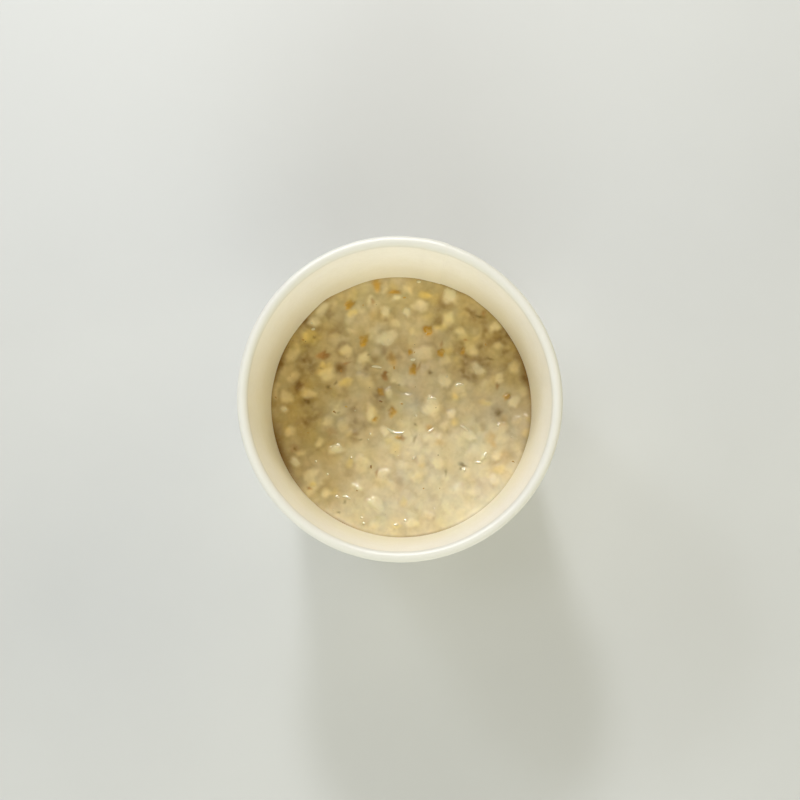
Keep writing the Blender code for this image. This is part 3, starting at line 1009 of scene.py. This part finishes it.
def laid_flakes():
    draw = random.Random(5)
    pieces = []
    for flakes, size, thick, sink, shows in TOP_FLAKES:
        for flake in flakes:
            length, width = flake["length"] * size, flake["width"] * size
            tone = flake["tone"] * draw.uniform(0.94, 1.02)
            drop = sink + draw.uniform(0.0, 0.06)
            pieces.append((flake["x"], flake["y"], length, width, thick, flake["turn"], drop, (*tone, shows)))
    shapes = [
        closed_rings(f"flake_{i}", i, FLAKE_RINGS, FLAKE_SEGMENTS, 0.48, -0.4, 0.14, 0.04) for i in range(FLAKE_SHAPES)
    ]
    laid("oat_flakes_on_top", pieces, shapes, flake_finish(), 3, draw, 0.04)


laying = laid_tree()
laid_flakes()


# ---------------------------------------------------------------------------------------------------------------------
# Husk and bran. Slivers of golden husk and dark specks of bran come off the oats as they cook, and lie in the top of
# the milk.
# ---------------------------------------------------------------------------------------------------------------------

LEVEL_ENOUGH = 0.4  # bits lie where the surface faces up at least this much
STREWN_RADIUS = 0.042
CHIP_RINGS = ((0.7, 0.35), (1.0, 0.0), (0.6, -0.35))
BIT_CREASE = 60  # degrees
HUSK_TONES = ((0.66, 0.44, 0.10), (0.52, 0.28, 0.05), (0.28, 0.14, 0.03))
BRAN_TONES = ((0.34, 0.21, 0.06), (0.22, 0.13, 0.035), (0.12, 0.07, 0.02))


def scatter_tree():
    """Geometry Nodes that strew shapes over the top of the porridge, part sunk, each with a tone of its own."""
    g = Group(
        "strewn bits", Porridge="Geometry", Shapes="Collection", How_Many="Float", Apart="Float", Smallest="Float",
        Largest="Float", Tip="Float", Sink="Float", Seed="Int", Finish="Material",
    )  # fmt: skip
    ground, shapes, many, apart, smallest, largest, tip, sink, seed, finish = g.given
    facing = g.add("ShaderNodeSeparateXYZ", {}, {"Vector": g.add("GeometryNodeInputNormal")}, "Z")
    inputs = {
        "Mesh": ground,
        "Selection": facing.math("GREATER_THAN", LEVEL_ENOUGH),
        "Distance Min": apart,
        "Density Max": many / (math.pi * STREWN_RADIUS**2),
        "Density Factor": g.on_points("thinness", "FLOAT"),
        "Seed": seed,
    }
    strewn = g.node("GeometryNodeDistributePointsOnFaces", {"distribute_method": "POISSON"}, inputs)
    points, normal, rotation = (Wire(g, strewn.outputs[name]) for name in ("Points", "Normal", "Rotation"))
    down = g.add("ShaderNodeVectorMath", {"operation": "SCALE"}, {0: normal, "Scale": 0 - sink})
    points = g.add("GeometryNodeSetPosition", {}, {"Geometry": points, "Offset": down})
    size = g.add("FunctionNodeRandomValue", {}, {2: smallest, 3: largest, "Seed": seed + 1}, 1)
    tips = g.add("ShaderNodeCombineXYZ", {}, {"X": tip, "Y": tip, "Z": math.tau})
    back = g.add("ShaderNodeVectorMath", {"operation": "SCALE"}, {0: tips, "Scale": -1.0})
    inputs = {0: back, 1: tips, "Seed": seed + 2}
    spin = g.add("FunctionNodeRandomValue", {"data_type": "FLOAT_VECTOR"}, inputs, 0)
    inputs = {"Rotation": rotation, "Rotate By": spin}
    rotation = g.add("FunctionNodeRotateRotation", {"rotation_space": "LOCAL"}, inputs)
    bits = shapes_on(g, points, shapes, seed + 3, rotation, size)
    tone = g.add("FunctionNodeRandomValue", {}, {2: 0.0, 3: 1.0, "Seed": seed + 4}, 1)
    inputs = {"Geometry": bits, "Name": "tone", "Value": tone}
    bits = g.add("GeometryNodeStoreNamedAttribute", {"data_type": "FLOAT", "domain": "INSTANCE"}, inputs)
    return g.ended(bits, finish)


def squeezed(mesh, x, y, z):
    """A shape made this many times as long, wide and thick."""
    mesh.transform(Matrix.Diagonal((x, y, z, 1)))
    return mesh


def bit_finish(name, tones, roughness):
    """A bit's own colour, from light over middle to dark, mottled and wet."""
    light, middle, dark = tones
    f = Finish(name, Coat_Roughness=0.08, Coat_IOR=1.36)
    tone = f.attribute("tone")
    mottle = f.noise(f.place, 0.0004, 3.0, 0.6)
    colour = f.mix(f.ramp(tone, 0.0, 0.5), light, middle)
    colour = f.mix(f.ramp(tone + (mottle - 0.5) * 0.6, 0.5, 1.0), colour, dark)
    f.varies(Base_Color=colour, Roughness=roughness + (mottle - 0.5) * 0.3, Coat_Weight=0.2 + mottle * 0.4)
    return f.material


def strew(name, shapes, finish, how_many, apart, smallest, largest, tip, sink, seed):
    box = shape_box(name + " shapes", shapes)
    values = {
        "Shapes": box, "How_Many": how_many, "Apart": apart, "Smallest": smallest, "Largest": largest,
        "Tip": tip, "Sink": sink, "Seed": seed, "Finish": finish,
    }  # fmt: skip
    made = made_by(scatter, porridge.data.copy(), name, values)
    emptied(box)
    face_outwards(made, BIT_CREASE)
    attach(made, "root")


scatter = scatter_tree()

husk_shapes = [
    squeezed(closed_rings(f"husk_{i}", 20 + i, CHIP_RINGS, 8, 0.45, -0.4, 0.16, 0.15), 1.0, 0.30 + 0.12 * i, 0.12)
    for i in range(4)
]
husk_finish = bit_finish("golden husk", HUSK_TONES, 0.4)
strew("husk_slivers", husk_shapes, husk_finish, 70, 0.0028, 0.0007, 0.0018, 0.20, 0.00005, 1)

speck_shapes = [
    squeezed(closed_rings(f"speck_{i}", 40 + i, CHIP_RINGS, 6, 0.5, -0.5, 0.2), 1.0, 0.55 + 0.15 * i, 0.4)
    for i in range(3)
]
speck_finish = bit_finish("bran", BRAN_TONES, 0.5)
strew("bran_specks", speck_shapes, speck_finish, 90, 0.0022, 0.0002, 0.00045, 0.4, 0.00003, 7)


# ---------------------------------------------------------------------------------------------------------------------
# Skin. Stirring leaves small bubbles in the milk. Where its skin draws tight it wrinkles into thin wet ridges, and both
# catch the light.
# ---------------------------------------------------------------------------------------------------------------------

# Wrinkles: x, y, length, turn in degrees, and how far the middle bends aside. Bubbles: x, y and width. All in mm.
WRINKLES = (
    (-1.8, -7.5, 6.0, -14, -1.0), (9.5, -7.6, 2.9, 36, -0.3), (20.5, -7.2, 3.5, -38, 0.3),
    (-17.8, -29.6, 3.0, -18, 0.3), (-20.8, -29.4, 1.5, -28, 0.1), (4.2, -16.6, 1.6, 44, 0.0),
    (25.0, -18.2, 2.2, 0, 0.1), (27.4, -15.8, 2.0, 62, 0.2), (3.9, 15.5, 1.8, 5, -0.1), (10.0, 2.3, 3.2, 0, 0.5),
    (19.0, 6.9, 3.0, 8, 0.3), (-28.8, 25.4, 1.4, 10, 0.1), (-8.0, 12.9, 3.6, -8, 0.2), (-1.6, -38.4, 1.4, 0, 0.1),
    (-20.6, -12.5, 1.6, 15, 0.1), (5.8, 41.0, 1.6, -6, 0.0),
)  # fmt: skip
BUBBLES = (
    (-12.8, -36.0, 0.9), (-12.1, -37.9, 1.1), (1.3, -36.9, 1.0), (-27.7, -17.8, 0.8), (-23.8, -22.0, 0.9),
    (-10.0, -8.9, 0.8), (-10.7, -10.7, 0.6), (31.5, -6.2, 0.9), (35.8, -9.9, 0.7), (-16.2, -16.6, 0.8),
    (4.8, -3.0, 0.9), (-29.3, 27.4, 0.7), (-37.6, -1.0, 0.7), (20.5, -20.6, 1.0), (14.9, 9.7, 0.8),
    (-4.2, 21.8, 0.7), (8.2, 24.0, 0.6), (-15.0, -1.3, 0.6), (-2.2, -38.2, 0.6), (24.0, -30.0, 0.5),
    (-1.0, -16.0, 0.4), (10.6, -33.0, 0.4), (-22.0, -33.5, 0.4), (0.9, -13.0, 0.4),
)  # fmt: skip
RIDGE_STEPS = 10
RIDGE_SIDES = 8
RIDGE_WIDTH_MM = 1.0
RIDGE_HEIGHT = 0.6  # as a share of its width
RIDGE_TIP = 0.12  # width of its ends, as a share of its middle's
BUBBLE_RINGS = ((0.38, 0.45), (0.72, 0.34), (0.95, 0.13), (1.0, -0.1))  # share of the radius, and height
BUBBLE_LONG, BUBBLE_THICK, BUBBLE_SINK = 0.94, 0.75, 0.05  # as shares of its width
SKIN_TONE = (0.84, 0.76, 0.50, 0.65)  # the last number is how much of it shows
SKIN_HAZE = (0.84, 0.76, 0.52)


def skin_finish():
    """Milk skin: the milk's colour, drawn smooth and glossy."""
    f = Finish("milk skin", Subsurface_Weight=0.2, Subsurface_Scale=0.0006, Coat_Roughness=0.05, Coat_IOR=2.0)
    haze = f.noise(f.place, 0.0008, 2.0, 0.5)
    colour = f.mix(haze * 0.3, f.attribute("piece_tint", "Color"), SKIN_HAZE)
    f.varies(Base_Color=colour, Roughness=0.16 + haze * 0.08, Coat_Weight=0.5 + haze * 0.4)
    return f.material


def skin_ridges():
    """A thin bead of milk, half sunk, along each wrinkle, tapering to nothing at its ends."""
    points, faces = [], []
    for x, y, length, turn, bend in WRINKLES:
        turn = math.radians(turn)
        first = len(points)
        for step in range(RIDGE_STEPS + 1):
            share = 2 * step / RIDGE_STEPS - 1
            along, aside = share * length / 2, bend * (1 - share * share)
            middle_x = (x + along * math.cos(turn) - aside * math.sin(turn)) / 1000
            middle_y = (y + along * math.sin(turn) + aside * math.cos(turn)) / 1000
            heading = turn + math.atan2(-2 * bend * share, length / 2)
            half = RIDGE_WIDTH_MM / 2000 * max(math.sqrt(1 - share * share), RIDGE_TIP)
            for side in range(RIDGE_SIDES):
                angle = math.tau * side / RIDGE_SIDES
                out, up = half * math.cos(angle), RIDGE_HEIGHT * half * math.sin(angle)
                points.append((middle_x - out * math.sin(heading), middle_y + out * math.cos(heading), up))
        for step in range(RIDGE_STEPS):
            for side in range(RIDGE_SIDES):
                a = first + step * RIDGE_SIDES + side
                b = first + step * RIDGE_SIDES + (side + 1) % RIDGE_SIDES
                faces.append((a, b, b + RIDGE_SIDES, a + RIDGE_SIDES))
        faces.append(tuple(first + side for side in reversed(range(RIDGE_SIDES))))
        faces.append(tuple(first + RIDGE_STEPS * RIDGE_SIDES + side for side in range(RIDGE_SIDES)))
    mesh = bpy.data.meshes.new("skin_ridges")
    mesh.from_pydata(points, [], faces)
    store(mesh, "piece_tone", "FLOAT_COLOR", [SKIN_TONE] * len(points))
    made = placed("skin_ridges", mesh)
    made.data.materials.append(milk_skin)
    drape(made)
    face_outwards(made, LAID_CREASE)
    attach(made, "root")


milk_skin = skin_finish()
skin_ridges()
bubble_pieces = [
    (x, y, width, width * BUBBLE_LONG, width * BUBBLE_THICK, 0.3 * i, width * BUBBLE_SINK, SKIN_TONE)
    for i, (x, y, width) in enumerate(BUBBLES)
]
bubble_shape = closed_rings("bubble", 60, BUBBLE_RINGS, 12, 0.5, -0.2, 0.02)
laid("milk_bubbles", bubble_pieces, [bubble_shape], milk_skin, 13, random.Random(9), 0.02)


# ---------------------------------------------------------------------------------------------------------------------
# Studio: a pale table, a soft light high up behind the pot to the left, weaker ones all round it, and a wide lamp that
# shows only as glints in the wet skin.
# ---------------------------------------------------------------------------------------------------------------------

LIGHT_DISTANCE = 1.4
LIT_PLACE = Vector((0, 0, 0.05))
# Name, azimuth from +X towards +Y, zenith from straight up (both in degrees), size, power, colour.
LIGHTS = (
    ("key", 132, 15, 0.46, 1.7, (1.0, 1.0, 1.0)),
    ("near_high_left", 240, 40, 0.9, 2.15, (1.0, 0.97, 0.80)),
    ("near_high_right", 300, 40, 0.9, 4.15, (1.0, 0.98, 0.87)),
    ("window", 100, 54, 0.2, 8.4, (0.90, 0.93, 1.0)),
    ("window_left", 132, 54, 0.2, 2.4, (0.84, 0.91, 1.0)),
    ("back_right", 30, 65, 0.9, 5.7, (1.0, 0.94, 0.69)),
    ("back", 90, 65, 0.9, 1.05, (1.0, 1.0, 1.0)),
    ("back_left", 150, 65, 0.9, 4.6, (0.88, 0.92, 1.0)),
    ("near_left", 210, 65, 0.9, 3.5, (1.0, 0.99, 0.77)),
    ("near", 270, 65, 0.9, 9.7, (0.88, 0.95, 0.97)),
    ("near_right", 330, 65, 0.9, 1.85, (1.0, 0.92, 0.45)),
)
GLINT_PLACE = Vector((-0.20, 1.08, 0.88))
GLINT_WIDTH, GLINT_HEIGHT, GLINT_POWER = 1.2, 0.7, 65.0
TABLE_HALF = 3
TABLE_TONES = ((0.56, 0.56, 0.54), (0.59, 0.59, 0.57))
ROOM_TONE, ROOM_STRENGTH = (1.0, 0.99, 0.97, 1.0), 0.04
VIEW_DISTANCE = 0.42
VIEW_TILT, VIEW_WAY = math.radians(4.5), math.radians(11.6)
VIEW_CENTRE = Vector((0.0002, -0.0006, 0.07445))
LENS_MM = 63.0


def aimed(name, data, place, target, up=Vector((0, 1, 0))):
    """An object at a place whose -Z looks at a target, with its top towards up."""
    made = placed(name, data)
    back = (place - target).normalized()
    side = up.cross(back).normalized()
    turn = Matrix((side, back.cross(side), back)).transposed().to_4x4()
    made.matrix_world = Matrix.Translation(place) @ turn
    return made


def area_light(name, shape, size, power):
    data = bpy.data.lights.new(name, "AREA")
    data.shape = shape
    data.size = size
    data.energy = power
    return data


def soft_light(name, azimuth, zenith, size, power, colour):
    data = area_light(name, "DISK", size, power)
    data.color = colour
    a, z = math.radians(azimuth), math.radians(zenith)
    away = Vector((math.sin(z) * math.cos(a), math.sin(z) * math.sin(a), math.cos(z)))
    lamp = aimed(name, data, LIT_PLACE + away * LIGHT_DISTANCE, LIT_PLACE)
    lamp.visible_glossy = False


towards_camera = Vector(
    (
        math.sin(VIEW_TILT) * math.sin(VIEW_WAY),
        -math.sin(VIEW_TILT) * math.cos(VIEW_WAY),
        math.cos(VIEW_TILT),
    )
)
camera_data = bpy.data.cameras.new("camera")
camera_data.lens = LENS_MM
camera_data.clip_start = 0.01
camera = aimed("camera", camera_data, VIEW_CENTRE + towards_camera * VIEW_DISTANCE, VIEW_CENTRE)
bpy.context.scene.camera = camera

for light in LIGHTS:
    soft_light(*light)

glint_data = area_light("glint", "RECTANGLE", GLINT_WIDTH, GLINT_POWER)
glint_data.size_y = GLINT_HEIGHT
glint = aimed("glint", glint_data, GLINT_PLACE, LIT_PLACE, Vector((0, 0, 1)))
glint.visible_diffuse = False

table_corners = [(x * TABLE_HALF, y * TABLE_HALF, 0) for x, y in ((-1, -1), (1, -1), (1, 1), (-1, 1))]
table_mesh = bpy.data.meshes.new("table")
table_mesh.from_pydata(table_corners, [], [(0, 1, 2, 3)])
table = placed("table", table_mesh)
table_finish = Finish("pale table")
table_cloud = table_finish.noise(table_finish.place, 0.05, 3.0)
table_colour = table_finish.mix(table_cloud, *TABLE_TONES)
table_finish.varies(Base_Color=table_colour, Roughness=0.6 + (table_cloud - 0.5) * 0.1)
table_mesh.materials.append(table_finish.material)

world = bpy.data.worlds.new("studio")
world.use_nodes = True
world.node_tree.nodes["Background"].inputs["Color"].default_value = ROOM_TONE
world.node_tree.nodes["Background"].inputs["Strength"].default_value = ROOM_STRENGTH
bpy.context.scene.world = world
bpy.context.scene.view_settings.view_transform = "Standard"
bpy.context.scene.view_settings.look = "None"
